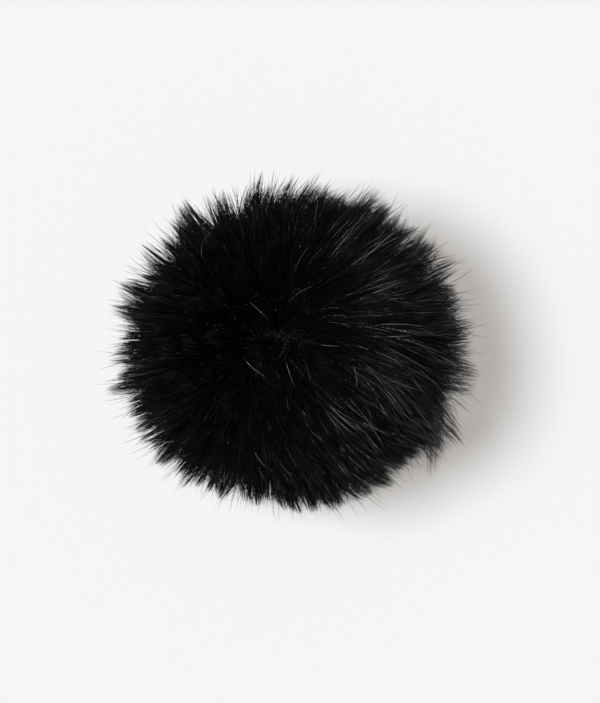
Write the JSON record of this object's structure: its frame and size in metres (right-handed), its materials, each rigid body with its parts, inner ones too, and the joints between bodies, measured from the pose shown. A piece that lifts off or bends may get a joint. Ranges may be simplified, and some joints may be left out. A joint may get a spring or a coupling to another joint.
{
  "type": "furry ball windscreen",
  "caption": "Ball windscreen for a pencil microphone: sewn fur cover over a caged foam shell, rubber mic gland and twist-lock ring.",
  "frame": {"origin": "centre of the neck's end face, which is the face the object stands on", "axes": "+Z from the microphone's entry up through the ball to the crown of the fur; X is the wider way across the fur"},
  "size_m": [0.095, 0.086, 0.0885],
  "materials": {
    "fur": "long black faux fur, soft sheen on the guard hairs",
    "tape": "woven black tape",
    "thread": "black polyester thread",
    "elastic": "covered round elastic",
    "cage": "moulded black plastic, fine texture",
    "gauze": "fine knitted wind gauze",
    "foam": "open-cell grey-black foam",
    "neck": "moulded black plastic, satin",
    "ring": "moulded dark grey plastic, ribbed",
    "gland": "soft black rubber",
    "gasket": "black rubber sheet",
    "screw": "zinc-plated steel"
  },
  "bodies": {
    "windscreen": {"upper_cage": "cage", "lower_cage": "cage", "cage_joint_band": "cage", "upper_gauze": "gauze", "lower_gauze": "gauze", "upper_foam": "foam", "lower_foam": "foam", "neck_collar": "neck", "neck_gasket": "gasket", "collar_screws": "screw", "mic_gland": "gland", "crown_patch": "tape", "hem_binding": "tape", "hem_elastic": "elastic", "hem_stitching": "thread", "fur_panel_right": "fur", "fur_panel_back": "fur", "fur_panel_left": "fur", "fur_panel_front": "fur", "seam_back_right": "tape", "seam_back_left": "tape", "seam_front_left": "tape", "seam_front_right": "tape"},
    "lock_ring_body": {"lock_ring": "ring"}
  },
  "joints": [
    {"name": "ring_twist", "type": "hinge", "parent": "windscreen", "child": "lock_ring_body", "pos_m": [0, 0, 0.0036], "axis": [0, 0, 1], "range_deg": [0, 30]}
  ]
}
